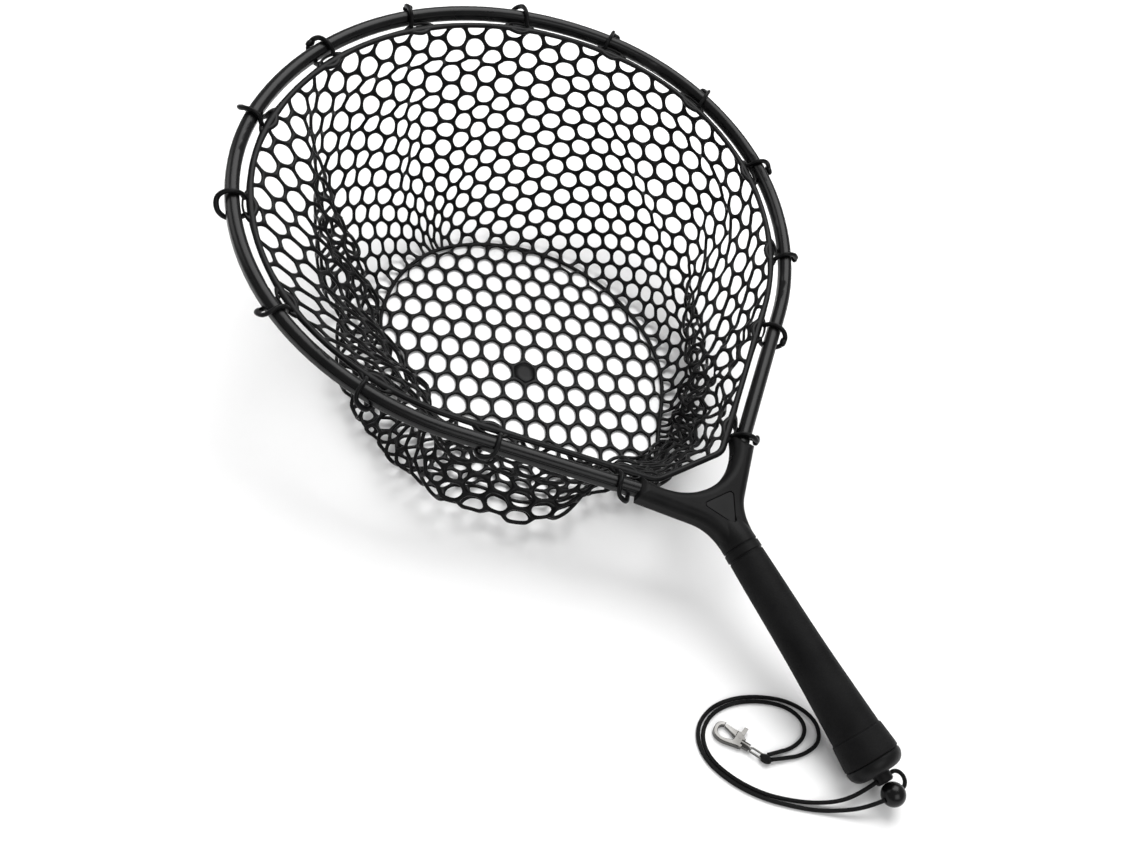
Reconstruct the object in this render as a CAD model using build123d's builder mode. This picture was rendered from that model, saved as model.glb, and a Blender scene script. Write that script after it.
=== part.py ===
from build123d import *
import os
from math import cos, pi, radians, sin, tan

os.makedirs("parts", exist_ok=True)

# A landing net with a moulded rubber bag. It lies with its bag and its butt on the ground
# and its hoop tip raised. X runs along the net towards the butt, Y across it, Z up.
# The origin is on the ground, under the middle of the net without its lanyard.

# Attitude and place
TILT = 15.0
TIP_BACK = 274.85
FOOT_X = 565.0
FOOT_RADIUS = 16.66
TIP_HEIGHT = FOOT_X * sin(radians(TILT)) + FOOT_RADIUS * cos(radians(TILT))

# Hoop: three arcs and a straight leg on each side, from the tip to the yoke's sockets
HOOP_ARCS = ((211.0, 40.3), (152.0, 68.2), (178.0, 31.5))
LEG = 112.7
TUBE_WIDE = 8.6
TUBE_HIGH = 10.2
TUBE_WALL = 1.2
GROOVE_RADIUS = 0.7
SOCKET_DEPTH = 15.0

# Yoke
YOKE_HALF_THICK = 7.8
ARM_HALF_WIDTH = 7.3
CROTCH_X = 384.0
NECK_START = 404.0
NECK_END = 423.0
CORE_START = 411.0
NECK_RADIUS = 11.0
YOKE_EDGE_FILLET = 5.4
BADGE_CORNERS = ((394.0, 8.6), (394.0, -8.6), (408.0, 0.0))
BADGE_ROUND = 1.6
BADGE_DEPTH = 0.9
BADGE_GAP = 0.7
SCREW_RADIUS = 1.5
SCREW_HEAD_RADIUS = 2.9
SCREW_HEAD_HIGH = 1.6
SCREW_LENGTH = 5.6

# Handle
CORE_RADIUS = 8.0
CORE_BORE = 6.5
COLLAR_END = 430.0
SLEEVE_END = 546.0
BAND_END = 562.0
BAND_RADIUS = 16.8
CAP_END = 570.5
LUG_END = 576.2
LUG_RADIUS = 5.2
LUG_HOLE_X = 573.4
SEAM = 0.2

# Bag
RIM_OFFSET = 10.5
RIM_RADIUS = 2.2
RIM_END_X = 366.0
RIM_CORNER = 12.0
WALL_THICK = 3.0
BASE_THICK = 3.0
BASE_SCALE = (0.73, 0.54, 1.0)
BASE_SHIFT = (50.0, 11.0)
SOFT_GAP = 0.3
LOOP_RADIUS = 6.8
LOOP_WIRE = 1.2
LOOP_PLACES = (0.0, 79.6, 153.3, 227.0, 300.7, 374.4, 448.1, 532.0)

# Lanyard
CORD_DIAMETER = 2.4
FLOOR = CORD_DIAMETER / 2 + 0.1
BALL_RADIUS = 7.0
BALL_X = 583.6
BALL_BORE = 1.45

# Clasp: its own plane runs from the knot along the clasp, and dips a little to the ground
KNOT = (509.0 - TIP_BACK, -46.0, 2.9)
CLASP_TURN = 202.5
CLASP_DIP = 2.0
CLASP_HALF_THICK = 1.6
SLOT_HALF_THICK = 0.95
LEVER_HALF_THICK = 0.85
PIVOT = (18.0, -1.8)
PIN_RADIUS = 0.75
RUNNING_GAP = 0.05
WIRE_RADIUS = 0.6
STUD_RADIUS = 1.0
STUD_HEAD_RADIUS = 1.55
HOOK_NOSE = 28.6

RISING = (Align.CENTER, Align.CENTER, Align.MIN)

NET = Plane(
    origin=(-TIP_BACK, 0, TIP_HEIGHT),
    x_dir=(cos(radians(TILT)), 0, -sin(radians(TILT))),
    z_dir=(sin(radians(TILT)), 0, cos(radians(TILT))),
)
HANDLE_AXIS = Axis(NET.origin, NET.x_dir)
CLASP_DIR = Vector(1, 0, 0).rotate(Axis.Y, CLASP_DIP).rotate(Axis.Z, CLASP_TURN)
CLASP_UP = Vector(0, 0, 1).rotate(Axis.Y, CLASP_DIP).rotate(Axis.Z, CLASP_TURN)
CLASP = Plane(origin=KNOT, x_dir=CLASP_DIR, z_dir=CLASP_UP)


def finish(part, name):
    part.label = name
    export_step(part, f"parts/{name}.step")


def net_point(x, y, z=0.0):
    return NET.from_local_coords(Vector(x, y, z))


def across_handle(x):
    return Plane(origin=net_point(x, 0), x_dir=(0, 1, 0), z_dir=NET.x_dir)


def heading(turned):
    return (sin(radians(turned)), cos(radians(turned)))


def inward(turned):
    return (cos(radians(turned)), -sin(radians(turned)))


def hoop_runs(offset):
    """Start, heading, radius and turn of each arc of a curve inside the hoop's centreline."""
    x, y, turned = offset, 0.0, 0.0
    runs = []
    for radius, turn in HOOP_ARCS:
        r = radius - offset
        runs.append(((x, y), turned, r, turn))
        x += r * (inward(turned)[0] - inward(turned + turn)[0])
        y += r * (inward(turned)[1] - inward(turned + turn)[1])
        turned += turn
    return runs, (x, y), turned


def hoop_station(distance):
    """Point and heading on the hoop's centreline at a distance from the tip."""
    runs, end, turned = hoop_runs(0.0)
    for (x, y), start, radius, turn in runs:
        length = radius * radians(turn)
        if distance <= length:
            now = start + distance / length * turn
            x += radius * (inward(start)[0] - inward(now)[0])
            y += radius * (inward(start)[1] - inward(now)[1])
            return (x, y), now
        distance -= length
    along = heading(turned)
    return (end[0] + distance * along[0], end[1] + distance * along[1]), turned


HOOP_LENGTH = sum(r * radians(a) for r, a in HOOP_ARCS) + LEG


def hoop_plane(distance):
    """Plane square to the hoop: its X points out of the hoop and its Z along the tube."""
    (x, y), turned = hoop_station(distance)
    along, inner = heading(turned), inward(turned)
    out = net_point(-inner[0], -inner[1]) - NET.origin
    return Plane(origin=net_point(x, y), x_dir=out, z_dir=net_point(*along) - NET.origin)


def draw_hoop_half(leg):
    """Right half of the hoop's centreline, from the tip, in the net's plane."""
    runs, end, turned = hoop_runs(0.0)
    for start, begun, radius, turn in runs:
        JernArc(start, heading(begun), radius, -turn)
    along = heading(turned)
    Line(end, (end[0] + leg * along[0], end[1] + leg * along[1]))


def draw_rim_half(offset, end_x):
    """Right half of a closed curve inside the hoop, ending straight across the yoke's mouth."""
    runs, end, turned = hoop_runs(offset)
    for start, begun, radius, turn in runs:
        JernArc(start, heading(begun), radius, -turn)
    corner_turn = 180.0 - turned
    corner_reach = RIM_CORNER * (inward(turned)[0] - inward(180.0)[0])
    along = heading(turned)
    leg = (end_x - corner_reach - end[0]) / along[0]
    corner = (end[0] + leg * along[0], end[1] + leg * along[1])
    Line(end, corner)
    JernArc(corner, along, RIM_CORNER, -corner_turn)
    side = corner[1] + RIM_CORNER * (inward(turned)[1] - inward(180.0)[1])
    Line((end_x, side), (end_x, 0))


def draw_tube_outline(grow=0.0):
    RectangleRounded(TUBE_WIDE + 2 * grow, TUBE_HIGH + 2 * grow, 4.0 + grow)


def arm_corners():
    """The outer and inner corners of the right socket's mouth, in the net's plane."""
    (x, y), turned = hoop_station(HOOP_LENGTH)
    inner = inward(turned)
    return [(x + side * ARM_HALF_WIDTH * inner[0], y + side * ARM_HALF_WIDTH * inner[1]) for side in (-1, 1)]


def screw_plane(place):
    """A plane on the yoke's underside that points up into it."""
    return Plane(origin=net_point(*place, -YOKE_HALF_THICK), x_dir=NET.x_dir, z_dir=NET.z_dir)


def screw_planes():
    (x, y), _ = hoop_station(HOOP_LENGTH + SOCKET_DEPTH / 2)
    return [screw_plane((x, y)), screw_plane((x, -y))]


def cut_screw_holes(head_seat):
    """Cuts the socket screws' holes, and a seat for each head where the piece has one."""
    for plane in screw_planes():
        with Locations(plane):
            Cylinder(SCREW_RADIUS + 0.05, SCREW_LENGTH, align=RISING, mode=Mode.SUBTRACT)
            if head_seat:
                Cylinder(SCREW_HEAD_RADIUS + 0.1, SCREW_HEAD_HIGH, align=RISING, mode=Mode.SUBTRACT)


def make_hoop_tube():
    with BuildPart() as hoop_tube:
        with BuildLine(NET) as path:
            draw_hoop_half(LEG + SOCKET_DEPTH)
        with BuildSketch(hoop_plane(0.0)):
            draw_tube_outline()
            with Locations((3.75, 3.1), (3.75, -3.1)):
                Circle(GROOVE_RADIUS, mode=Mode.SUBTRACT)
            RectangleRounded(TUBE_WIDE - 2 * TUBE_WALL, TUBE_HIGH - 2 * TUBE_WALL, 2.8, mode=Mode.SUBTRACT)
        sweep(path=path.wires()[0])
        mirror(about=Plane.XZ)
        cut_screw_holes(head_seat=False)
    finish(hoop_tube.part, "hoop_tube")


def make_yoke():
    outer, inner = arm_corners()
    waist = (NECK_START - 6.0, 19.5)
    tail = (NECK_END, NECK_RADIUS - 0.6)
    along_arm = (Vector(*waist) - Vector(*outer)).normalized() * 9.0
    with BuildPart() as yoke:
        with BuildSketch(NET):
            with BuildLine():
                Polyline(inner, outer, waist)
                Bezier(waist, (waist[0] + along_arm.X, waist[1] + along_arm.Y), (tail[0] - 11.0, tail[1]), tail)
                Line(tail, (tail[0], 0))
                mirror(about=Plane.XZ)
                ThreePointArc(inner, (CROTCH_X, 0), (inner[0], -inner[1]))
            make_face()
        extrude(amount=YOKE_HALF_THICK, both=True)
        flats = yoke.faces().sort_by(Axis(NET.origin, NET.z_dir))
        fillet(flats[0].outer_wire().edges() + flats[-1].outer_wire().edges(), YOKE_EDGE_FILLET)
        with BuildSketch(across_handle(NECK_START - 3.0)):
            Ellipse(7.0, 6.6)
        with BuildSketch(across_handle(NECK_START + 11.0)):
            Ellipse(10.8, 10.2)
        with BuildSketch(across_handle(NECK_END)):
            Circle(NECK_RADIUS)
        loft()
        with BuildSketch(hoop_plane(HOOP_LENGTH)):
            draw_tube_outline(0.05)
        right_socket = extrude(amount=SOCKET_DEPTH + 0.3, mode=Mode.SUBTRACT)
        mirror(right_socket, about=Plane.XZ, mode=Mode.SUBTRACT)
        with BuildSketch(across_handle(CORE_START)):
            Circle(CORE_RADIUS + 0.05)
        extrude(amount=NECK_END - CORE_START + 1.0, mode=Mode.SUBTRACT)
        seat = badge_face(NET.offset(YOKE_HALF_THICK - BADGE_DEPTH), BADGE_ROUND + BADGE_GAP)
        extrude(seat, amount=4 * BADGE_DEPTH, mode=Mode.SUBTRACT)
        cut_screw_holes(head_seat=True)
    finish(yoke.part, "yoke")


def badge_face(plane, rounding):
    with BuildSketch(plane) as face:
        with BuildLine():
            Polyline(*BADGE_CORNERS, close=True)
        make_face()
        offset(amount=rounding)
    return face.sketch


def make_yoke_fittings():
    with BuildPart() as badge:
        extrude(badge_face(NET.offset(YOKE_HALF_THICK - BADGE_DEPTH), BADGE_ROUND), amount=BADGE_DEPTH - 0.1)
    finish(badge.part, "yoke_badge")

    with BuildPart() as screws:
        for plane in screw_planes():
            with Locations(plane):
                Cylinder(SCREW_HEAD_RADIUS, SCREW_HEAD_HIGH - 0.1, align=RISING)
                Cylinder(SCREW_RADIUS, SCREW_LENGTH - 0.3, align=RISING)
            with Locations(plane.rotated((0, 0, 30))):
                Box(3.6, 0.7, 1.2, mode=Mode.SUBTRACT)
                Box(0.7, 3.6, 1.2, mode=Mode.SUBTRACT)
    finish(screws.part, "socket_screws")


def turned_piece(name, outline):
    """A piece turned about the handle's axis from its outline of (distance, radius) points."""
    with BuildPart() as piece:
        with BuildSketch(NET):
            with BuildLine():
                Polyline(*outline, close=True)
            make_face()
        revolve(axis=HANDLE_AXIS)
    finish(piece.part, name)


def make_handle():
    turned_piece("handle_core", [
        (CORE_START + 0.2, CORE_BORE), (CORE_START + 0.2, CORE_RADIUS),
        (BAND_END - 0.5, CORE_RADIUS), (BAND_END - 0.5, CORE_BORE),
    ])
    bore = CORE_RADIUS + 0.05
    turned_piece("neck_collar", [
        (NECK_END + SEAM, bore), (NECK_END + SEAM, 10.5), (NECK_END + 0.9, 10.5), (NECK_END + 1.3, 11.2),
        (COLLAR_END - 1.3, 11.3), (COLLAR_END - 0.9, 10.6), (COLLAR_END, 10.6), (COLLAR_END, bore),
    ])

    with BuildPart() as sleeve:
        with BuildSketch(NET):
            with BuildLine():
                start, end = COLLAR_END + SEAM, SLEEVE_END
                Polyline((start, 11.0), (start, bore), (end, bore), (end, 14.9))
                Spline((end, 14.9), (522.0, 13.7), (495.0, 12.5), (460.0, 11.7), (start, 11.0))
            make_face()
        revolve(axis=HANDLE_AXIS)
    finish(sleeve.part, "grip_sleeve")

    with BuildPart() as band:
        with BuildSketch(NET):
            with BuildLine():
                Polyline((SLEEVE_END + SEAM, bore), (BAND_END, bore), (BAND_END, BAND_RADIUS - 0.4),
                         (BAND_END - 0.6, BAND_RADIUS), (BAND_END - 2.5, BAND_RADIUS),
                         (SLEEVE_END + 0.9, 15.6), (SLEEVE_END + SEAM, 15.0), close=True)
            make_face()
        revolve(axis=HANDLE_AXIS)
    finish(band.part, "grip_end_band")

    with BuildPart() as cap:
        with BuildSketch(NET):
            with BuildLine():
                Polyline((SLEEVE_END + 4.0, 0), (SLEEVE_END + 4.0, CORE_BORE - 0.05),
                         (BAND_END + SEAM, CORE_BORE - 0.05), (BAND_END + SEAM, 16.0), (BAND_END + 0.8, 16.7))
                Spline((BAND_END + 0.8, 16.7), (BAND_END + 4.4, 16.2), (BAND_END + 7.3, 13.9), (CAP_END, 10.5))
                Polyline((CAP_END, 10.5), (CAP_END, LUG_RADIUS), (LUG_END - 0.8, LUG_RADIUS),
                         (LUG_END, LUG_RADIUS - 0.8), (LUG_END, 0), (SLEEVE_END + 4.0, 0))
            make_face()
        revolve(axis=HANDLE_AXIS)
        with Locations(Plane(origin=net_point(LUG_HOLE_X, 0), z_dir=(0, 1, 0))):
            Cylinder(CORD_DIAMETER / 2 + 0.15, 3 * LUG_RADIUS, mode=Mode.SUBTRACT)
    finish(cap.part, "end_cap")


def make_bag():
    with BuildPart() as rim:
        with BuildLine(NET) as path:
            draw_rim_half(RIM_OFFSET, RIM_END_X)
        with BuildSketch(Plane(origin=net_point(RIM_OFFSET, 0), x_dir=NET.x_dir, z_dir=(0, 1, 0))):
            Circle(RIM_RADIUS)
        sweep(path=path.wires()[0])
        mirror(about=Plane.XZ)
    finish(rim.part, "bag_rim")

    top = NET.offset(-RIM_RADIUS - SOFT_GAP)
    with BuildPart() as wall:
        for inset, mode in ((-WALL_THICK / 2, Mode.ADD), (WALL_THICK / 2, Mode.SUBTRACT)):
            loft([rim_face(top, inset), base_face(BASE_THICK + SOFT_GAP, 1.5 * inset)], mode=mode)
    finish(wall.part, "bag_wall")

    with BuildPart() as base:
        extrude(base_face(0.0, -0.75 * WALL_THICK), amount=BASE_THICK)
    finish(base.part, "bag_base")

    with BuildPart() as loops:
        for distance in LOOP_PLACES[1:]:
            with Locations(hoop_plane(distance)):
                Torus(LOOP_RADIUS, LOOP_WIRE)
        mirror(about=Plane.XZ)
        with Locations(hoop_plane(LOOP_PLACES[0])):
            Torus(LOOP_RADIUS, LOOP_WIRE)
    finish(loops.part, "hoop_loops")


def rim_face(plane, inset):
    """The rim's outline, moved inwards by a distance, as a face on a plane."""
    with BuildSketch(plane) as face:
        with BuildLine():
            draw_rim_half(RIM_OFFSET + inset, RIM_END_X - inset)
            mirror(about=Plane.XZ)
        make_face()
    return face.sketch


def base_face(height, inset):
    """The bag's flat bottom: the rim's outline drawn smaller, on the level."""
    level = Plane(origin=(BASE_SHIFT[0] - TIP_BACK, BASE_SHIFT[1], height))
    with BuildSketch(level) as face:
        with BuildLine():
            draw_rim_half(RIM_OFFSET + inset, RIM_END_X - inset)
            mirror(about=Plane.XZ)
            scale(by=BASE_SCALE)
        make_face()
    return face.sketch


def corner_radii(points):
    """The largest arc at each corner of a cord's route: 0.45 of its shorter run."""
    radii = []
    for before, here, after in zip(points, points[1:], points[2:]):
        first, second = here - before, after - here
        turn = radians(first.get_angle(second))
        radii.append(0.45 * min(first.length, second.length) / tan(turn / 2))
    return radii


def make_cord(name, route):
    points = [Vector(*p) for p in route]
    radii = corner_radii(points)
    with BuildPart() as cord:
        with BuildLine() as path:
            FilletPolyline(*points, radius=radii)
        with BuildSketch(Plane(origin=points[0], z_dir=points[1] - points[0])):
            Circle(CORD_DIAMETER / 2)
        sweep(path=path.wires()[0])
    expected = pi * (CORD_DIAMETER / 2) ** 2 * path.wires()[0].length
    print(name, "length", round(path.wires()[0].length, 1), "smallest radius", round(min(radii), 1),
          "volume over section times length", round(cord.part.volume / expected, 4))
    finish(cord.part, name)


def make_lanyard():
    """Two strands side by side from the knot: one to the cap's lug, one to the ball."""
    lug = net_point(LUG_HOLE_X, -LUG_RADIUS - 0.1)
    ball = net_point(BALL_X, -BALL_RADIUS)
    t = TIP_BACK
    make_cord("lanyard_inner_strand", [
        (lug.X, lug.Y, lug.Z), (553.5 - t, -15.0, 10.2), (550.5 - t, -26.0, 5.6), (544.0 - t, -36.5, 2.0),
        (536.0 - t, -47.5, FLOOR), (524.5 - t, -60.0, FLOOR), (509.0 - t, -69.5, FLOOR),
        (492.0 - t, -74.0, FLOOR), (478.0 - t, -68.5, FLOOR), (471.0 - t, -55.5, FLOOR),
        (471.5 - t, -40.0, FLOOR), (478.0 - t, -24.5, FLOOR), (489.0 - t, -11.5, FLOOR),
        (501.5 - t, -8.2, FLOOR), (509.5 - t, -14.5, FLOOR), (511.5 - t, -26.0, FLOOR),
        (509.0 - t, -37.0, 2.0), (507.8 - t, -42.9, 2.8),
    ])
    make_cord("lanyard_outer_strand", [
        (ball.X, ball.Y, ball.Z), (563.0 - t, -17.5, 7.4), (557.5 - t, -29.0, 3.6), (549.5 - t, -40.0, FLOOR),
        (540.0 - t, -51.5, FLOOR), (527.0 - t, -63.5, FLOOR), (510.5 - t, -73.0, FLOOR),
        (491.0 - t, -77.6, FLOOR), (474.5 - t, -71.0, FLOOR), (466.6 - t, -56.5, FLOOR),
        (467.5 - t, -39.0, FLOOR), (475.0 - t, -22.3, FLOOR), (487.5 - t, -7.6, FLOOR),
        (504.0 - t, -2.6, FLOOR), (515.0 - t, -11.0, FLOOR), (516.5 - t, -25.0, FLOOR),
        (513.4 - t, -36.5, 2.0), (511.1 - t, -43.2, 2.8),
    ])
    half_bend = (BALL_X - LUG_HOLE_X) / 2
    with BuildPart() as bend:
        with BuildLine(NET) as path:
            start, end = (LUG_HOLE_X, LUG_RADIUS + 0.1), (BALL_X, BALL_RADIUS)
            Line(start, (LUG_HOLE_X, BALL_RADIUS + 0.3))
            ThreePointArc((LUG_HOLE_X, BALL_RADIUS + 0.3),
                          (LUG_HOLE_X + half_bend, BALL_RADIUS + 0.3 + half_bend), (BALL_X, BALL_RADIUS + 0.3))
            Line((BALL_X, BALL_RADIUS + 0.3), end)
        with BuildSketch(Plane(origin=net_point(*start), z_dir=(0, 1, 0))):
            Circle(CORD_DIAMETER / 2)
        sweep(path=path.wires()[0])
    finish(bend.part, "lanyard_bend")

    with BuildPart() as stopper:
        with Locations(Plane(origin=net_point(BALL_X, 0), x_dir=NET.x_dir, z_dir=(0, 1, 0))):
            Sphere(BALL_RADIUS)
            Cylinder(BALL_BORE, 3 * BALL_RADIUS, mode=Mode.SUBTRACT)
    finish(stopper.part, "stopper_ball")


def across_clasp(u):
    return Plane(origin=CLASP.from_local_coords(Vector(u, 0, 0)), x_dir=CLASP.y_dir, z_dir=CLASP.x_dir)


def eye_ring(radius):
    """The swivel's wire loop, from its neck round through the knot and back."""
    with BuildPart() as ring:
        with BuildLine(CLASP) as path:
            Line((8.4, 1.5), (0.8, 1.5))
            ThreePointArc((0.8, 1.5), (-0.7, 0), (0.8, -1.5))
            Line((0.8, -1.5), (8.4, -1.5))
            ThreePointArc((8.4, -1.5), (9.9, 0), (8.4, 1.5))
        with BuildSketch(Plane(origin=CLASP.from_local_coords(Vector(8.4, 1.5, 0)), z_dir=CLASP.x_dir)):
            Circle(radius)
        sweep(path=path.wires()[0])
    return ring.part


def make_knot_and_eye():
    wire = eye_ring(WIRE_RADIUS)
    tunnel = eye_ring(WIRE_RADIUS + 0.15)
    with BuildPart() as knot:
        with BuildSketch(CLASP):
            with BuildLine():
                Polyline((-3.2, 1.3), (-3.6, 0.9), (-3.6, 0), (3.6, 0), (3.6, 0.9), (3.2, 1.3))
                ThreePointArc((3.2, 1.3), (0, 2.6), (-3.2, 1.3))
            make_face()
        revolve(axis=Axis(CLASP.origin, CLASP.x_dir))
        add(tunnel, mode=Mode.SUBTRACT)
    finish(knot.part, "lanyard_knot")

    with BuildPart() as eye:
        add(wire)
        for start, radius, length in ((9.3, STUD_RADIUS, 6.0), (13.9, STUD_HEAD_RADIUS, 1.4)):
            with BuildSketch(across_clasp(start)):
                Circle(radius)
            extrude(amount=length)
    finish(eye.part, "swivel_eye")


def make_clasp():
    with BuildPart() as body:
        with BuildSketch(CLASP):
            with BuildLine():
                Spline((16.0, 3.7), (21.5, 5.2), (27.0, 6.2), (31.5, 4.6), (33.2, 0.0), (31.8, -4.2),
                       (28.2, -6.0), (22.0, -5.6), (17.5, -4.6), (14.5, -3.0))
                Polyline((14.5, -3.0), (14.5, 3.0), (16.0, 3.7))
            make_face()
            with BuildLine():
                Spline((20.6, 0.6), (22.4, 2.6), (27.0, 4.0), (30.2, 2.2), (30.8, -0.8), (29.2, -3.4),
                       (26.0, -3.4), (22.0, -1.6), (20.6, 0.6), tangents=((0, 1), (0, 1)))
            make_face(mode=Mode.SUBTRACT)
            with Locations(((HOOK_NOSE + 20.6) / 2, -5.0)):
                Rectangle(HOOK_NOSE - 20.6, 8.0, mode=Mode.SUBTRACT)
        extrude(amount=CLASP_HALF_THICK, both=True)
        outer = body.faces().filter_by(Axis(CLASP.origin, CLASP.z_dir)).edges()
        chamfer(outer, 0.35)
        with BuildSketch(across_clasp(10.6)):
            Circle(2.3)
        extrude(amount=5.6)
        with BuildSketch(CLASP):
            with Locations((18.4, -3.0)):
                Rectangle(5.4, 8.4)
        extrude(amount=SLOT_HALF_THICK, both=True, mode=Mode.SUBTRACT)
        for start, radius, length in ((10.0, STUD_RADIUS + RUNNING_GAP, 6.0),
                                      (13.8, STUD_HEAD_RADIUS + RUNNING_GAP, 1.6)):
            with BuildSketch(across_clasp(start)):
                Circle(radius)
            extrude(amount=length, mode=Mode.SUBTRACT)
        with BuildSketch(CLASP):
            with Locations(PIVOT):
                Circle(PIN_RADIUS)
        extrude(amount=2 * CLASP_HALF_THICK, both=True, mode=Mode.SUBTRACT)
    finish(body.part, "clasp_body")

    with BuildPart() as lever:
        with BuildSketch(CLASP) as outline:
            with BuildLine():
                Polyline((16.7, -0.6), (19.6, -0.6), (21.4, -1.9), (HOOK_NOSE - 0.3, -3.6), (HOOK_NOSE - 0.3, -5.6),
                         (21.6, -5.4), (19.0, -5.9), (18.5, -10.2), (16.2, -10.4), (16.4, -4.0), close=True)
            make_face()
            fillet(outline.vertices(), 0.5)
            with Locations(PIVOT):
                Circle(PIN_RADIUS + RUNNING_GAP, mode=Mode.SUBTRACT)
        extrude(amount=LEVER_HALF_THICK, both=True)
    finish(lever.part, "clasp_lever")

    with BuildPart() as pin:
        with BuildSketch(CLASP.offset(-CLASP_HALF_THICK - 0.1)):
            with Locations(PIVOT):
                Circle(PIN_RADIUS)
        extrude(amount=2 * CLASP_HALF_THICK + 0.2)
    finish(pin.part, "lever_pin")

    with BuildPart() as spring:
        with BuildSketch(CLASP):
            with BuildLine():
                Polyline((16.0, 0.9), (20.6, 0.9), (20.6, 0.6), (19.4, -0.2), (19.1, 0.1), (19.6, 0.6),
                         (16.0, 0.6), close=True)
            make_face()
        extrude(amount=0.7, both=True)
    finish(spring.part, "lever_spring")


if __name__ == "__main__":
    make_hoop_tube()
    make_yoke()
    make_yoke_fittings()
    make_handle()
    make_bag()
    make_lanyard()
    make_knot_and_eye()
    make_clasp()
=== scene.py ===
import math

import bpy
import numpy as np
from mathutils import Matrix, Vector


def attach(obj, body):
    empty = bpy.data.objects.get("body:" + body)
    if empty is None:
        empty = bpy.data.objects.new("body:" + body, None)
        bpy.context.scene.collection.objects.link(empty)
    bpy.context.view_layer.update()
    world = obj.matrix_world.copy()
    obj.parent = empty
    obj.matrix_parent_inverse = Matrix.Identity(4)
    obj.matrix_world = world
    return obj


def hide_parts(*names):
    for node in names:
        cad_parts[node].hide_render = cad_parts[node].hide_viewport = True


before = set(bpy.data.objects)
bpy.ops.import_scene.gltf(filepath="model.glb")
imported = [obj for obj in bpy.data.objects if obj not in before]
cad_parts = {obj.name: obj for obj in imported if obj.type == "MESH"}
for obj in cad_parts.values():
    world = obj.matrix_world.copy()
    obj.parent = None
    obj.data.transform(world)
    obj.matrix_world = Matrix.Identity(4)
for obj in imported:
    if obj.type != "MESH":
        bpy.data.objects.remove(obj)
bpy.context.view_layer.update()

MM = 0.001
FULL_TURN = 2 * math.pi
scene = bpy.context.scene

# ---------------------------------------------------------------- the net's own frame
# The hoop's plane slopes down to the grip, whose end cap rests on the ground.
TILT = math.radians(15.0)
TIP_BACK = 274.85
CAP_PLACE = 565.0
CAP_RADIUS = 16.66
TIP_HEIGHT = CAP_PLACE * math.sin(TILT) + CAP_RADIUS * math.cos(TILT)
TIP = np.array([-TIP_BACK, 0.0, TIP_HEIGHT])
ALONG = np.array([math.cos(TILT), 0.0, -math.sin(TILT)])
ACROSS = np.array([0.0, 1.0, 0.0])
ABOVE = np.array([math.sin(TILT), 0.0, math.cos(TILT)])


def net(x, y, z=0.0):
    """Place in the frame, in mm, of a point given along, across and above the hoop's plane."""
    x, y, z = np.asarray(x, float), np.asarray(y, float), np.asarray(z, float)
    return TIP + x[..., None] * ALONG + y[..., None] * ACROSS + z[..., None] * ABOVE


# ---------------------------------------------------------------- camera
CAMERA_PLACE = net(510.95, -423.56, 587.04)
CAMERA_RIGHT = 0.490 * ALONG + 0.804 * ACROSS + 0.336 * ABOVE
CAMERA_DOWN = 0.828 * ALONG - 0.310 * ACROSS - 0.467 * ABOVE
LENS = 38.53
SENSOR = 36.0


def make_camera():
    place = CAMERA_PLACE * MM
    right = CAMERA_RIGHT
    down = CAMERA_DOWN
    forward = np.cross(right, down)
    down = np.cross(forward, right)
    turn = Matrix([list(right), list(-down), list(-forward)]).transposed().to_4x4()
    data = bpy.data.cameras.new("camera")
    data.lens = LENS
    data.sensor_width = SENSOR
    data.clip_start = 0.02
    data.clip_end = 20.0
    camera = bpy.data.objects.new("camera", data)
    camera.matrix_world = Matrix.Translation(Vector(place)) @ turn
    scene.collection.objects.link(camera)
    scene.camera = camera


make_camera()


# ---------------------------------------------------------------- materials
CLOUD_SCALE = 55.0
CLOUD_ENDS = (0.35, 0.68)


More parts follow.
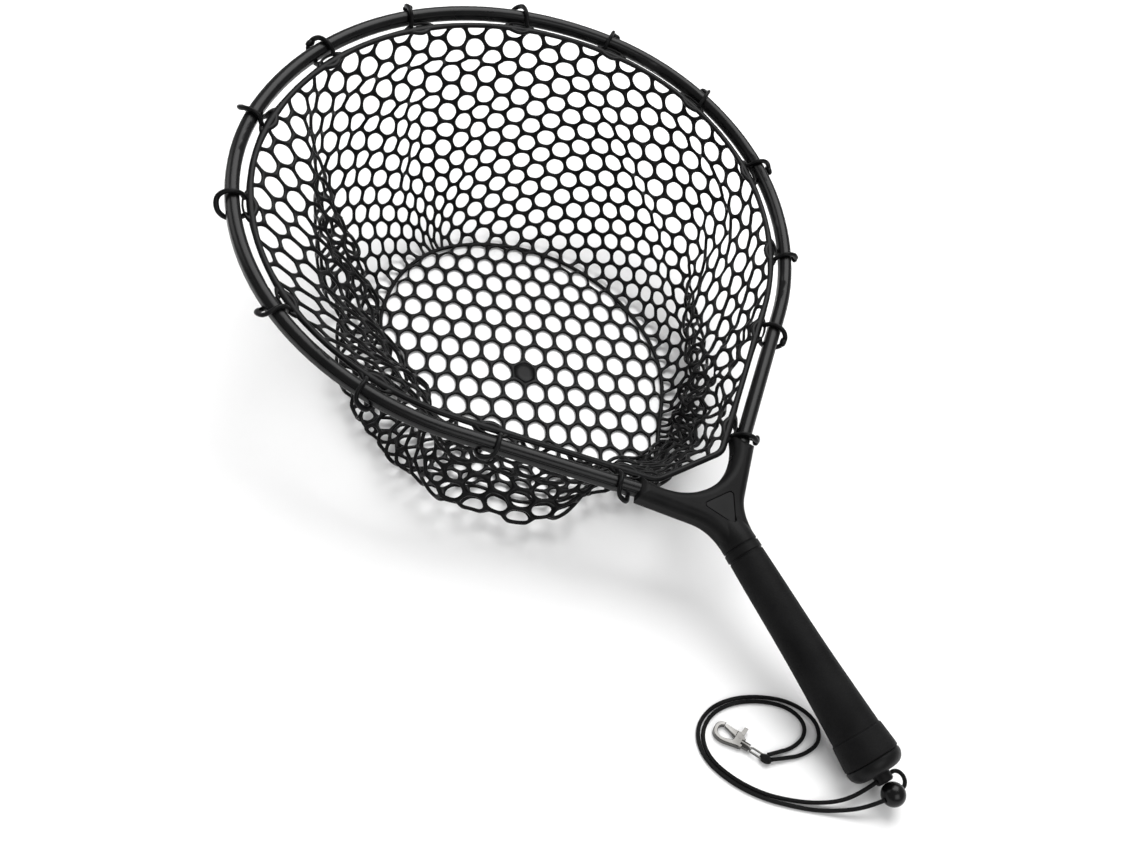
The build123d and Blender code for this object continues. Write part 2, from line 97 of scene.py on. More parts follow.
def material(name, colours, rough, scale, bump, depth, metallic=0.0, specular=0.5, pattern="noise"):
    """A material whose colour, gloss and relief vary over the surface at a real scale."""
    mat = bpy.data.materials.new(name)
    mat.use_nodes = True
    tree = mat.node_tree
    shader = tree.nodes["Principled BSDF"]
    shader.inputs["Metallic"].default_value = metallic
    shader.inputs["Specular IOR Level"].default_value = specular
    coords = tree.nodes.new("ShaderNodeTexCoord")
    cloud = tree.nodes.new("ShaderNodeTexNoise")
    cloud.inputs["Scale"].default_value = CLOUD_SCALE
    cloud.inputs["Detail"].default_value = 6.0
    tree.links.new(coords.outputs["Object"], cloud.inputs["Vector"])
    ramp = tree.nodes.new("ShaderNodeValToRGB")
    for element, end, colour in zip(ramp.color_ramp.elements, CLOUD_ENDS, colours):
        element.position = end
        element.color = (*colour, 1)
    tree.links.new(cloud.outputs["Fac"], ramp.inputs["Fac"])
    tree.links.new(ramp.outputs["Color"], shader.inputs["Base Color"])
    gloss = tree.nodes.new("ShaderNodeMapRange")
    gloss.inputs["To Min"].default_value = rough[0]
    gloss.inputs["To Max"].default_value = rough[1]
    tree.links.new(cloud.outputs["Fac"], gloss.inputs["Value"])
    tree.links.new(gloss.outputs["Result"], shader.inputs["Roughness"])
    if pattern in ("grain", "braid"):
        relief = tree.nodes.new("ShaderNodeTexVoronoi")
        relief.feature = "SMOOTH_F1" if pattern == "grain" else "F1"
        height = relief.outputs["Distance"]
    else:
        relief = tree.nodes.new("ShaderNodeTexNoise")
        relief.inputs["Detail"].default_value = 3.0
        height = relief.outputs["Fac"]
    relief.inputs["Scale"].default_value = scale
    tree.links.new(coords.outputs["Object"], relief.inputs["Vector"])
    bumps = tree.nodes.new("ShaderNodeBump")
    bumps.inputs["Strength"].default_value = bump
    bumps.inputs["Distance"].default_value = depth
    tree.links.new(height, bumps.inputs["Height"])
    tree.links.new(bumps.outputs["Normal"], shader.inputs["Normal"])
    return mat


RUBBER = material("net_rubber", ((0.0022, 0.0022, 0.0025), (0.0060, 0.0060, 0.0062)), rough=(0.26, 0.42),
                  scale=900, bump=0.25, depth=0.0003, specular=0.10)
TUBE = material("hoop_coat", ((0.0022, 0.0022, 0.0024), (0.0052, 0.0052, 0.0054)), rough=(0.22, 0.34),
                scale=2600, bump=0.12, depth=0.0001, specular=0.17)
YOKE = material("yoke_plastic", ((0.0026, 0.0026, 0.0027), (0.0060, 0.0060, 0.0062)), rough=(0.40, 0.54),
                scale=2200, bump=0.30, depth=0.0002, specular=0.09, pattern="grain")
GRIP = material("grip_rubber", ((0.0028, 0.0028, 0.0030), (0.0066, 0.0066, 0.0068)), rough=(0.50, 0.68),
                scale=1500, bump=0.45, depth=0.0003, specular=0.09, pattern="grain")
CAP = material("cap_plastic", ((0.0030, 0.0030, 0.0032), (0.0070, 0.0070, 0.0072)), rough=(0.36, 0.50),
               scale=2000, bump=0.25, depth=0.0002, specular=0.12, pattern="grain")
BALL = material("ball_plastic", ((0.0022, 0.0022, 0.0024), (0.0050, 0.0050, 0.0052)), rough=(0.20, 0.32),
                scale=1200, bump=0.12, depth=0.0002, specular=0.20)
CORD = material("cord_braid", ((0.0018, 0.0018, 0.0020), (0.0085, 0.0085, 0.0088)), rough=(0.50, 0.70),
                scale=1700, bump=0.9, depth=0.0005, specular=0.12, pattern="braid")
NICKEL = material("nickel", ((0.075, 0.073, 0.070), (0.17, 0.167, 0.162)), rough=(0.20, 0.36),
                  scale=900, bump=0.15, depth=0.0002, metallic=1.0)
STEEL = material("steel", ((0.06, 0.06, 0.06), (0.12, 0.12, 0.12)), rough=(0.25, 0.42),
                 scale=1400, bump=0.2, depth=0.0002, metallic=1.0)


def dress(node, mat):
    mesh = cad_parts[node].data
    mesh.materials.clear()
    mesh.materials.append(mat)


for node, mat in (
    ("hoop_tube", TUBE), ("yoke", YOKE), ("yoke_badge", CAP), ("socket_screws", STEEL),
    ("handle_core", STEEL), ("neck_collar", YOKE), ("grip_sleeve", GRIP), ("grip_end_band", GRIP),
    ("end_cap", CAP), ("stopper_ball", BALL), ("lanyard_knot", CORD), ("lanyard_bend", CORD),
    ("swivel_eye", NICKEL), ("clasp_body", NICKEL), ("clasp_lever", NICKEL), ("lever_pin", NICKEL),
    ("lever_spring", STEEL),
):
    dress(node, mat)


# ---------------------------------------------------------------- mesh helpers
def mesh_object(name, points, quads, mat):
    """A smooth-shaded object from points in mm and faces."""
    mesh = bpy.data.meshes.new(name)
    mesh.from_pydata((np.asarray(points) * MM).tolist(), [], [list(map(int, q)) for q in quads])
    mesh.validate()
    mesh.polygons.foreach_set("use_smooth", [True] * len(mesh.polygons))
    mesh.materials.append(mat)
    mesh.update()
    obj = bpy.data.objects.new(name, mesh)
    scene.collection.objects.link(obj)
    return obj


def loop_quads(rings, around, closed):
    """Quads that join rings of points, each ring itself closed."""
    quads = []
    last = rings if closed else rings - 1
    for r in range(last):
        a, b = r * around, ((r + 1) % rings) * around
        for k in range(around):
            n = (k + 1) % around
            quads.append((a + k, a + n, b + n, b + k))
    return quads


def smooth_path(points, rounds=3):
    """Rounds an open path off by cutting its corners."""
    p = np.asarray(points, float)
    for _ in range(rounds):
        cut = np.stack([0.75 * p[:-1] + 0.25 * p[1:], 0.25 * p[:-1] + 0.75 * p[1:]], axis=1)
        p = np.vstack([p[:1], cut.reshape(-1, p.shape[1]), p[-1:]])
    return p


def rod(points, wide, high, upward, closed, around=10):
    """Points and quads of a rod of oval section along a path, its height along upward."""
    p = np.asarray(points, float)
    if closed:
        way = np.roll(p, -1, axis=0) - np.roll(p, 1, axis=0)
    else:
        way = np.gradient(p, axis=0)
    way /= np.linalg.norm(way, axis=1)[:, None]
    up = np.broadcast_to(np.asarray(upward, float), p.shape)
    side = np.cross(way, up)
    side /= np.linalg.norm(side, axis=1)[:, None]
    up = np.cross(side, way)
    angle = np.arange(around) * FULL_TURN / around
    wide = np.broadcast_to(wide, len(p))[:, None, None]
    high = np.broadcast_to(high, len(p))[:, None, None]
    ring = (p[:, None] + wide * np.cos(angle)[None, :, None] * side[:, None]
            + high * np.sin(angle)[None, :, None] * up[:, None])
    verts = ring.reshape(-1, 3)
    quads = loop_quads(len(p), around, closed)
    if not closed:
        quads.append(tuple(range(around - 1, -1, -1)))
        quads.append(tuple(range((len(p) - 1) * around, len(p) * around)))
    return verts, quads


def join(parts):
    """One list of points and faces out of several."""
    verts, quads, count = [], [], 0
    for v, q in parts:
        verts.append(v)
        quads.extend([tuple(i + count for i in f) for f in q])
        count += len(v)
    return np.vstack(verts), quads


# ---------------------------------------------------------------- cords
CORD_DIAMETER = 2.4
FLOOR_Z = CORD_DIAMETER / 2 + 0.1


def nurbs(name, route, mat):
    """A round cord along a smooth curve of one spline that its points, in mm, steer."""
    curve = bpy.data.curves.new(name, "CURVE")
    curve.dimensions = "3D"
    curve.bevel_depth = CORD_DIAMETER / 2 * MM
    curve.bevel_resolution = 4
    curve.resolution_u = 12
    curve.use_fill_caps = True
    spline = curve.splines.new("NURBS")
    spline.points.add(len(route) - 1)
    for point, place in zip(spline.points, route):
        point.co = (place[0] * MM, place[1] * MM, place[2] * MM, 1.0)
    spline.order_u = 3
    spline.use_endpoint_u = True
    curve.materials.append(mat)
    obj = bpy.data.objects.new(name, curve)
    scene.collection.objects.link(obj)
    return obj


# The routes' first points lie in the lug and the ball, the rest are given from the hoop's tip.
t = TIP_BACK
lug = net(573.4, -5.3)
ball = net(583.6, -7.0)
INNER = [
    tuple(lug), (553.5 - t, -15.0, 10.2), (550.5 - t, -26.0, 5.6), (544.0 - t, -36.5, 2.0),
    (536.0 - t, -47.5, FLOOR_Z), (524.5 - t, -60.0, FLOOR_Z), (509.0 - t, -69.5, FLOOR_Z),
    (492.0 - t, -74.0, FLOOR_Z), (478.0 - t, -68.5, FLOOR_Z), (471.0 - t, -55.5, FLOOR_Z),
    (471.5 - t, -40.0, FLOOR_Z), (478.0 - t, -24.5, FLOOR_Z), (489.0 - t, -11.5, FLOOR_Z),
    (501.5 - t, -8.2, FLOOR_Z), (509.5 - t, -14.5, FLOOR_Z), (511.5 - t, -26.0, FLOOR_Z),
    (509.0 - t, -37.0, 2.0), (507.8 - t, -42.9, 2.8),
]
OUTER = [
    tuple(ball), (561.0 - t, -16.8, 7.4), (554.6 - t, -28.2, 3.6), (547.2 - t, -39.2, FLOOR_Z),
    (538.3 - t, -49.9, FLOOR_Z), (526.0 - t, -62.3, FLOOR_Z), (510.1 - t, -72.1, FLOOR_Z),
    (491.4 - t, -76.9, FLOOR_Z), (475.6 - t, -70.6, FLOOR_Z), (468.0 - t, -56.2, FLOOR_Z),
    (468.6 - t, -39.2, FLOOR_Z), (475.6 - t, -22.6, FLOOR_Z), (487.6 - t, -7.2, FLOOR_Z),
    (504.5 - t, -0.8, FLOOR_Z), (517.0 - t, -8.6, FLOOR_Z), (518.0 - t, -24.0, FLOOR_Z),
    (513.4 - t, -36.5, 2.0), (511.1 - t, -43.2, 2.8),
]
inner_strand = nurbs("inner_strand", INNER, CORD)
outer_strand = nurbs("outer_strand", OUTER, CORD)
for strand, node in ((inner_strand, "lanyard_inner_strand"), (outer_strand, "lanyard_outer_strand")):
    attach(strand, "root")
    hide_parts(node)


# ---------------------------------------------------------------- outlines of hoop and rim
# Radius and turn in degrees of each arc from the tip, and the ties' distances from it along the hoop
HOOP_ARCS = ((211.0, 40.3), (152.0, 68.2), (178.0, 31.5))
TIE_PLACES = (0.0, 79.6, 153.3, 227.0, 300.7, 374.4, 448.1, 532.0)
RIM_GAP = 10.5
RIM_END = 366.0
RIM_CORNER = 12.0


def outline(offset, end_x, corner, step=0.5):
    """Closed curve in the hoop's plane at a distance inside the hoop, from the tip to +Y."""
    x, y, turned = offset, 0.0, 0.0
    points = [(x, y)]

    def arc(x, y, turned, r, turn):
        was = math.radians(turned)
        for a in np.linspace(0.0, math.radians(turn), max(3, int(r * math.radians(turn) / step)))[1:]:
            now = was + a
            points.append((x + r * (math.cos(was) - math.cos(now)),
                           y + r * (math.sin(now) - math.sin(was))))
        return (*points[-1], turned + turn)

    for radius, turn in HOOP_ARCS:
        x, y, turned = arc(x, y, turned, radius - offset, turn)
    heading = math.radians(turned)
    reach = corner * (math.cos(heading) + 1.0)
    leg = (end_x - reach - x) / math.sin(heading)
    for d in np.linspace(0.0, leg, int(leg / step))[1:]:
        points.append((x + d * math.sin(heading), y + d * math.cos(heading)))
    x, y = points[-1]
    x, y, turned = arc(x, y, turned, corner, 180.0 - turned)
    for d in np.linspace(y, 0.0, max(3, int(y / step)))[1:]:
        points.append((x, d))
    half = np.array(points)
    other = half[1:-1][::-1] * (1, -1)
    return np.vstack([half, other])


def lengths(curve):
    """Distance along a closed curve of each of its points and of its end."""
    return np.r_[0.0, np.cumsum(np.linalg.norm(np.roll(curve, -1, axis=0) - curve, axis=1))]


def at_length(curve, where):
    """Points of a closed curve at distances along it."""
    run = lengths(curve)
    ring = np.vstack([curve, curve[:1]])
    where = np.mod(where, run[-1])
    return np.stack([np.interp(where, run, ring[:, a]) for a in range(ring.shape[1])], axis=-1)


def hoop_station(distance):
    """Point and heading on the hoop's centreline at a distance from its tip, on the +Y side."""
    x, y, turned = 0.0, 0.0, 0.0
    for radius, turn in HOOP_ARCS:
        length = radius * math.radians(turn)
        part = min(distance, length) / length * turn
        a, b = math.radians(turned), math.radians(turned + part)
        x += radius * (math.cos(a) - math.cos(b))
        y += radius * (math.sin(b) - math.sin(a))
        turned += part
        distance -= min(distance, length)
    heading = math.radians(turned)
    return x + distance * math.sin(heading), y + distance * math.cos(heading), turned


def attachments():
    """Point, outward and lengthwise directions in the hoop's plane of each tie."""
    found = []
    last = len(TIE_PLACES) - 1
    for k in range(-last, last + 1):
        x, y, turned = hoop_station(TIE_PLACES[abs(k)])
        side = -1.0 if k < 0 else 1.0
        a = math.radians(turned)
        found.append((np.array([x, side * y]), np.array([-math.cos(a), side * math.sin(a)]),
                      np.array([math.sin(a), side * math.cos(a)]) * side))
    return found


TIES = attachments()
RIM = outline(RIM_GAP, RIM_END, RIM_CORNER)
RIM_LENGTH = lengths(RIM)[-1]


def tie_nearness(points, reach):
    """1 where the rim is tied to the hoop, falling to 0 over a distance in mm."""
    away = np.min([np.linalg.norm(points - p, axis=-1) for p, _, _ in TIES], axis=0)
    return np.clip(1.0 - (away - RIM_GAP) / reach, 0.0, 1.0)


# ---------------------------------------------------------------- the bag's drape
# Columns and rows of cells in the wall, and the grid that is hung: NI steps round, NJ down the wall
# and NK from the base's edge to its middle
COLUMNS = 76
SPLIT = 2
NI = COLUMNS * SPLIT
ROWS = 12
NJ = ROWS * 2
NK = 6
BASE_SCALE = np.array([0.73, 0.54])
BASE_SHIFT = np.array([50.0 - TIP_BACK, 11.0])
BASE_CENTRE = np.array([-92.0, 11.0])
THICK = 2.1
STRAND = 2.7
FLOOR = 1.4
RIM_DROP = 1.0
ROW_AT_RIM = 8.3
ROW_AT_BASE = 7.0
STEPS = 170
ROUNDS = 4
SAG = 0.03
KEEP_MOVING = 0.9
FLOOR_GRIP = 0.6
LONGEST_MOVE = 2.0

# Where the wall's surplus gathers round the base: middle and width in columns, and how much
GATHERS = ((0.5, 3.2, 1.0), (31.0, 4.5, 0.8), (50.0, 5.0, 0.7), (63.0, 4.0, 0.7))


def base_outline():
    return RIM * BASE_SCALE + BASE_SHIFT


def around_gap(column, middle):
    """Columns from the middle one to this one, the shorter way round."""
    return (column - middle + COLUMNS / 2) % COLUMNS - COLUMNS / 2


def ease(s):
    """A smooth step from 0 to 1."""
    s = np.clip(s, 0.0, 1.0)
    return s * s * (3 - 2 * s)


def bump(column, start, end, soft):
    """1 between two columns, falling to 0 over a few columns on either side."""
    middle, half = (start + end) / 2, (end - start) / 2
    gap = np.abs(around_gap(column, middle)) - half
    return ease(1.0 - gap / soft)


def seam_places():
    """Share of the base's outline at which each column of the grid meets it."""
    column = np.arange(NI) / SPLIT
    tight = np.zeros(NI)
    for middle, width, much in GATHERS:
        away = np.abs(around_gap(column, middle)) / width
        tight = np.maximum(tight, much * np.clip(1.3 - away, 0.0, 1.0))
    pitch = 1.0 - 0.75 * tight
    run = np.r_[0.0, np.cumsum(pitch)]
    seam = run[:-1] / run[-1]
    drift = seam - np.arange(NI) / NI
    return seam - drift.mean()


def profile(corners):
    """Points at even steps along each column's way down, from a few corners: distance in, and height."""
    fine = smooth_path(corners)
    run = np.r_[0.0, np.cumsum(np.linalg.norm(np.diff(fine, axis=0), axis=1))]
    where = np.linspace(0.0, run[-1], NJ + 1)
    return np.column_stack([np.interp(where, run, fine[:, 0]), np.interp(where, run, fine[:, 1])])


def target_wall(rim, foot):
    """How the wall hangs: taut at the tip, folded over itself along -Y, slack and bunched by the yoke.

    Each way of hanging is a line of corners down the wall, given as distance in and height."""
    # Stretches of the wall, in columns from the tip towards +Y, in which each way of hanging rules
    column = np.arange(NI) / SPLIT
    fold = bump(column, 51.0, 66.0, 4.0)
    near = bump(column, 43.5, 49.0, 3.0)
    right = bump(column, 23.0, 32.0, 4.0)
    reach = 84 * ease((71.5 - column) / 11.0) * ease((column - 46.0) / 10.0)
    yoke = bump(column, 36.0, 40.0, 3.0)
    out_to = np.clip((column - 46.5) * 3.7, -2.0, 60.0)
    wall = np.zeros((NI, NJ + 1, 3))
    for i in range(NI):
        flat = foot[i, :2] - rim[i, :2]
        gap = np.linalg.norm(flat)
        inward = flat / gap
        top = rim[i, 2]
        plain = profile([(0, top), (gap * 0.2 - 3, top * 0.7), (gap * 0.5 - 7, top * 0.36), (gap - 9, 9),
                         (gap, FLOOR)])
        far = min(reach[i], gap + 8)
        low = max(top - 0.9 * far, 20)
        back = min(out_to[i], far - 6)
        folded = profile([(0, top), (0.55 * far, top - 0.42 * (top - low)), (far, low + 3),
                          (far, low - 8), (back, 0.5 * low), (back, 6), (0.5 * (back + gap), FLOOR + 4),
                          (gap, FLOOR)])
        slack = profile([(0, top), (0, top * 0.60), (12, top * 0.46), (-5, top * 0.26),
                         (out_to[i] - 2, 6), (out_to[i] + 10, 15), (out_to[i] + 22, 3), (gap, FLOOR)])
        bunched = profile([(0, top), (0.42 * gap, top * 0.66), (0.84 * gap, top * 0.40),
                           (0.82 * gap, top * 0.28), (0.42 * gap, top * 0.20), (0.46 * gap, 6),
                           (0.75 * gap, 13), (0.9 * gap, 4), (gap, FLOOR)])
        gathered = profile([(0, top), (0.42 * gap, top * 0.80), (0.90 * gap, top * 0.55),
                            (1.25 * gap, top * 0.40), (0.75 * gap, top * 0.33), (0.70 * gap, top * 0.14),
                            (1.15 * gap, 9), (gap, FLOOR)])
        total = fold[i] + near[i] + right[i] + yoke[i]
        even = 1.0 / max(total, 1.0)
        way = (plain * max(1.0 - total, 0.0) + folded * fold[i] * even + slack * near[i] * even
               + bunched * right[i] * even + gathered * yoke[i] * even)
        wall[i, :, :2] = rim[i, :2] + way[:, :1] * inward
        wall[i, :, 2] = way[:, 1]
    down = np.linspace(0.0, 1.0, NJ + 1)
    outward = rim - foot
    outward[:, 2] = 0.0
    outward /= np.linalg.norm(outward, axis=1)[:, None]
    pleats = (bump(column, 26.0, 37.0, 3.0) * 7.0 * np.sin(FULL_TURN * column / 2.9)
              + bump(column, 74.5, 78.5, 2.0) * 7.0 * np.cos(FULL_TURN * around_gap(column, 0.5) / 6.0)
              + bump(column, 42.0, 62.0, 3.0) * 5.0 * np.sin(FULL_TURN * column / 3.4)
              + bump(column, 8.0, 24.0, 6.0) * 2.5 * np.sin(FULL_TURN * column / 8.3))
    crease = 8.0 * np.exp(-((column[:, None] - 7.5 - 17.0 * down[None, :]) / 1.2) ** 2)
    share = np.sin(np.clip(down * 1.15, 0, 1) * math.pi) * down ** 0.5
    relief = pleats[:, None] * share[None, :] - crease * np.sin(down * math.pi)
    wall += outward[:, None] * relief[..., None]
    held = np.maximum.reduce([fold, near, 0.7 * right, yoke, 0.35 * bump(column, 8.0, 24.0, 4.0)])
    strength = 0.012 + 0.07 * held
    return wall, strength


def drape():
    """Hangs the bag from its rim with its flat base on the ground, as a grid of points in mm."""
    rim2 = at_length(RIM, np.arange(NI) / NI * RIM_LENGTH)
    rim = net(rim2[:, 0], rim2[:, 1], -RIM_DROP)
    base_ring = base_outline()
    seam2 = at_length(base_ring, seam_places() * lengths(base_ring)[-1])
    foot = np.column_stack([seam2, np.full(NI, FLOOR)])
    centre = np.r_[BASE_CENTRE, FLOOR]

    p = np.zeros((NI, NJ + NK + 1, 3))
    p[:, :NJ + 1], strength = target_wall(rim, foot)
    for k in range(1, NK + 1):
        p[:, NJ + k] = centre + (foot - centre) * max(1.0 - k / NK, 0.03)
    rest_base = p[:, NJ:].copy()
    rest_base[:, 0] = foot
    target = p.copy()
    goal = np.zeros((NI, NJ + NK + 1))
    goal[:, 1:NJ] = strength[:, None]
    goal[:, NJ:] = 0.04

    seam_rest = np.linalg.norm(np.roll(foot, -1, axis=0) - foot, axis=1)
    down = np.arange(NJ + 1) / NJ
    wide = RIM_LENGTH / NI * (1 - down) + 6.0 * down
    part = np.clip((NJ - np.arange(NJ + 1)) / 8.0, 0.0, 1.0)
    rest_h = np.zeros((NI, NJ + NK + 1))
    rest_h[:, :NJ + 1] = seam_rest[:, None] + (wide[None, :] - seam_rest[:, None]) * part[None, :]
    rest_h[:, NJ:] = np.linalg.norm(np.roll(rest_base, -1, axis=0) - rest_base, axis=2)
    rest_v = np.zeros((NI, NJ + NK))
    tight = 1.0 - 0.22 * bump(np.arange(NI) / SPLIT, 34.0, 42.0, 5.0)
    rest_v[:, :NJ] = tight[:, None] * np.linspace(ROW_AT_RIM, ROW_AT_BASE, NJ)
    rest_v[:, NJ:] = np.linalg.norm(rest_base[:, 1:] - rest_base[:, :-1], axis=2)
    rest_d = np.sqrt(rest_v ** 2 + ((rest_h[:, 1:] + rest_h[:, :-1]) / 2) ** 2)
    w = np.ones((NI, NJ + NK + 1))
    w[:, 0] = 0.0
    moved = np.zeros_like(p)

    def pull(a, b, rest, wa, wb, taut, slackness):
        """The moves that bring each pair of points towards its rest distance."""
        d = b - a
        length = np.linalg.norm(d, axis=-1) + 1e-9
        over = length - rest
        much = np.where(over > 0, taut, slackness) * over / length / np.maximum(wa + wb, 1e-9)
        return d * (much * wa)[..., None], -d * (much * wb)[..., None]

    for _ in range(STEPS):
        before = p.copy()
        p += moved * KEEP_MOVING
        p[:, 1:, 2] -= SAG
        for _ in range(ROUNDS):
            p += (target - p) * (goal * w)[..., None]
            for s in (0, 1):
                a, b = p[:, s:-1:2], p[:, s + 1::2]
                n = min(a.shape[1], b.shape[1])
                da, db = pull(a[:, :n], b[:, :n], rest_v[:, s::2][:, :n],
                              w[:, s:-1:2][:, :n], w[:, s + 1::2][:, :n], 0.8, 0.4)
                p[:, s:-1:2][:, :n] += da
                p[:, s + 1::2][:, :n] += db
            for s in (0, 1):
                first = np.arange(s, NI, 2)
                second = (first + 1) % NI
                da, db = pull(p[first], p[second], rest_h[first], w[first], w[second], 0.8, 0.4)
                p[first] += da
                p[second] += db
            nxt = np.roll(p, -1, axis=0)
            wn = np.roll(w, -1, axis=0)
            da, db = pull(p[:, :-1], nxt[:, 1:], rest_d, w[:, :-1], wn[:, 1:], 0.2, 0.12)
            ea, eb = pull(p[:, 1:], nxt[:, :-1], rest_d, w[:, 1:], wn[:, :-1], 0.2, 0.12)
            p[:, :-1] += da
            p[:, 1:] += np.roll(db, 1, axis=0)
            p[:, 1:] += ea
            p[:, :-1] += np.roll(eb, 1, axis=0)
            two = np.roll(p, -2, axis=0)
            da, db = pull(p, two, rest_h * 2, w, np.roll(w, -2, axis=0), 0.0, 0.06)
            p += da + np.roll(db, 2, axis=0)
            da, db = pull(p[:, :-2], p[:, 2:], rest_v[:, 1:] + rest_v[:, :-1],
                          w[:, :-2], w[:, 2:], 0.0, 0.06)
            p[:, :-2] += da
            p[:, 2:] += db
            low = p[..., 2] < FLOOR
            p[..., 2] = np.where(low, FLOOR, p[..., 2])
            p[:, 0] = rim
        moved = p - before
        moved[..., :2] = np.where(low[..., None], moved[..., :2] * FLOOR_GRIP, moved[..., :2])
        size = np.linalg.norm(moved, axis=-1, keepdims=True)
        moved *= np.minimum(1.0, LONGEST_MOVE / (size + 1e-9))
    for _ in range(2):
        mean = (np.roll(p, 1, axis=0) + np.roll(p, -1, axis=0)) / 2
        p[:, 1:] += 0.25 * (mean[:, 1:] - p[:, 1:])
        mean = (p[:, 2:] + p[:, :-2]) / 2
        p[:, 1:-1] += 0.2 * (mean - p[:, 1:-1])
    return p, rest_base


DRAPE, REST_BASE = drape()


def weights(f):
    """Shares of four neighbouring points in a smooth curve through the middle two."""
    return (-0.5 * f + f ** 2 - 0.5 * f ** 3, 1 - 2.5 * f ** 2 + 1.5 * f ** 3,
            0.5 * f + 2 * f ** 2 - 1.5 * f ** 3, -0.5 * f ** 2 + 0.5 * f ** 3)


def wall_point(u, v):
    """Point of the draped wall at grid place u round and v down."""
    i, j = np.floor(u).astype(int), np.minimum(np.floor(v).astype(int), NJ - 1)
    wu, wv = weights(u - i), weights(v - j)
    total = np.zeros(u.shape + (3,))
    for a in range(4):
        for b in range(4):
            near = DRAPE[(i + a - 1) % NI, np.clip(j + b - 1, 0, NJ)]
            total += (wu[a] * wv[b])[..., None] * near
    return total


def wall_surface(q):
    """Points of the draped wall and its normals there."""
    u, v = q[..., 0], q[..., 1]
    e = 0.3
    sideways = wall_point(u + e, v) - wall_point(u - e, v)
    downwards = wall_point(u, np.minimum(v + e, NJ)) - wall_point(u, np.maximum(v - e, 0.0))
    n = np.cross(sideways, downwards)
    return wall_point(u, v), n / (np.linalg.norm(n, axis=-1)[..., None] + 1e-9)


BASE_EDGE = REST_BASE[:, 0, :2]
BASE_ANGLES = np.unwrap(np.arctan2(BASE_EDGE[:, 1] - BASE_CENTRE[1], BASE_EDGE[:, 0] - BASE_CENTRE[0]))
BASE_TURN = math.copysign(FULL_TURN, BASE_ANGLES[-1] - BASE_ANGLES[0])


def base_polar(x, y):
    """Grid place round the base, and share of the way from its middle to its edge."""
    dx, dy = x - BASE_CENTRE[0], y - BASE_CENTRE[1]
    angle = np.arctan2(dy, dx)
    low = min(BASE_ANGLES[0], BASE_ANGLES[0] + BASE_TURN)
    angle = low + np.mod(angle - low, FULL_TURN)
    known = np.r_[BASE_ANGLES, BASE_ANGLES[0] + BASE_TURN]
    place = np.arange(NI + 1.0)
    if BASE_TURN < 0:
        known, place = known[::-1], place[::-1]
    u = np.interp(angle, known, place)
    i = np.floor(u).astype(int) % NI
    f = (u - np.floor(u))[..., None]
    edge = BASE_EDGE[i] * (1 - f) + BASE_EDGE[(i + 1) % NI] * f
    reach = np.linalg.norm(edge - BASE_CENTRE, axis=-1)
    return u, np.hypot(dx, dy) / reach


def base_point(x, y):
    """Point of the draped base panel that lies at a place of the flat one."""
    u, rho = base_polar(x, y)
    shift = DRAPE[:, NJ:] - REST_BASE
    v = np.clip((1.0 - rho) * NK, 0.0, NK - 1e-6)
    i, k = np.floor(u).astype(int) % NI, np.floor(v).astype(int)
    f, g = (u - np.floor(u))[..., None], (v - k)[..., None]
    n = (i + 1) % NI
    moved = ((shift[i, k] * (1 - f) + shift[n, k] * f) * (1 - g)
             + (shift[i, k + 1] * (1 - f) + shift[n, k + 1] * f) * g)
    return np.stack([x, y, np.full_like(x, FLOOR)], axis=-1) + moved


def base_surface(q):
    """Points of the draped base panel and its normals there."""
    x, y = q[..., 0], q[..., 1]
    e = 1.5
    n = np.cross(base_point(x + e, y) - base_point(x - e, y),
                 base_point(x, y + e) - base_point(x, y - e))
    return base_point(x, y), n / (np.linalg.norm(n, axis=-1)[..., None] + 1e-9)


SAMPLES = 4
GRID_KEY = 24
BASE_KEY = 997


def web(surface, cells, keys):
    """Rubber mesh with a rounded hole in each six-sided cell.

    keys gives whole numbers that name a place, so that neighbouring cells share their points."""
    share = (np.arange(SAMPLES) / SAMPLES)[None, None, :, None]
    count, around = len(cells), 6 * SAMPLES
    q = cells[:, :, None] * (1 - share) + np.roll(cells, -1, axis=1)[:, :, None] * share
    q = q.reshape(count, around, 2)
    p, n = surface(q)
    inward = p.mean(axis=1, keepdims=True) - p
    reach = np.linalg.norm(inward, axis=-1, keepdims=True) + 1e-9
    inward /= reach
    corner = p[:, ::SAMPLES]
    edge = np.repeat(np.roll(corner, -1, axis=1) - corner, SAMPLES, axis=1)
    edge /= np.linalg.norm(edge, axis=-1, keepdims=True) + 1e-9
    slant = np.linalg.norm(np.cross(inward, edge), axis=-1, keepdims=True)
    step = np.minimum(STRAND / 2 / np.maximum(slant, 0.4), 0.72 * reach)
    hole = p + inward * step
    for _ in range(3):
        hole = (np.roll(hole, 1, axis=1) + 2 * hole + np.roll(hole, -1, axis=1)) / 4
    high = THICK / 2
    half = p + 0.55 * (hole - p)
    rings = [p + n * high, half + n * high * 0.80, hole, half - n * high * 0.80, p - n * high]
    name = keys(q)
    _, first, back = np.unique(name.reshape(-1, name.shape[-1]), axis=0, return_index=True,
                               return_inverse=True)
    back = np.ravel(back)
    shared = len(first)
    top = rings[0].reshape(-1, 3)[first]
    bottom = rings[4].reshape(-1, 3)[first]
    own = np.concatenate([r.reshape(-1, 3) for r in rings[1:4]])
    verts = np.vstack([top, bottom, own])
    index = [back.reshape(count, around)]
    for r in range(3):
        index.append(2 * shared + r * count * around + np.arange(count * around).reshape(count, around))
    index.append(shared + back.reshape(count, around))
    quads = []
    for a, b in zip(index, index[1:]):
        faces = np.stack([a, np.roll(a, -1, axis=1), np.roll(b, -1, axis=1), b], axis=-1)
        quads.append(faces.reshape(-1, 4))
    return verts, np.vstack(quads), hole


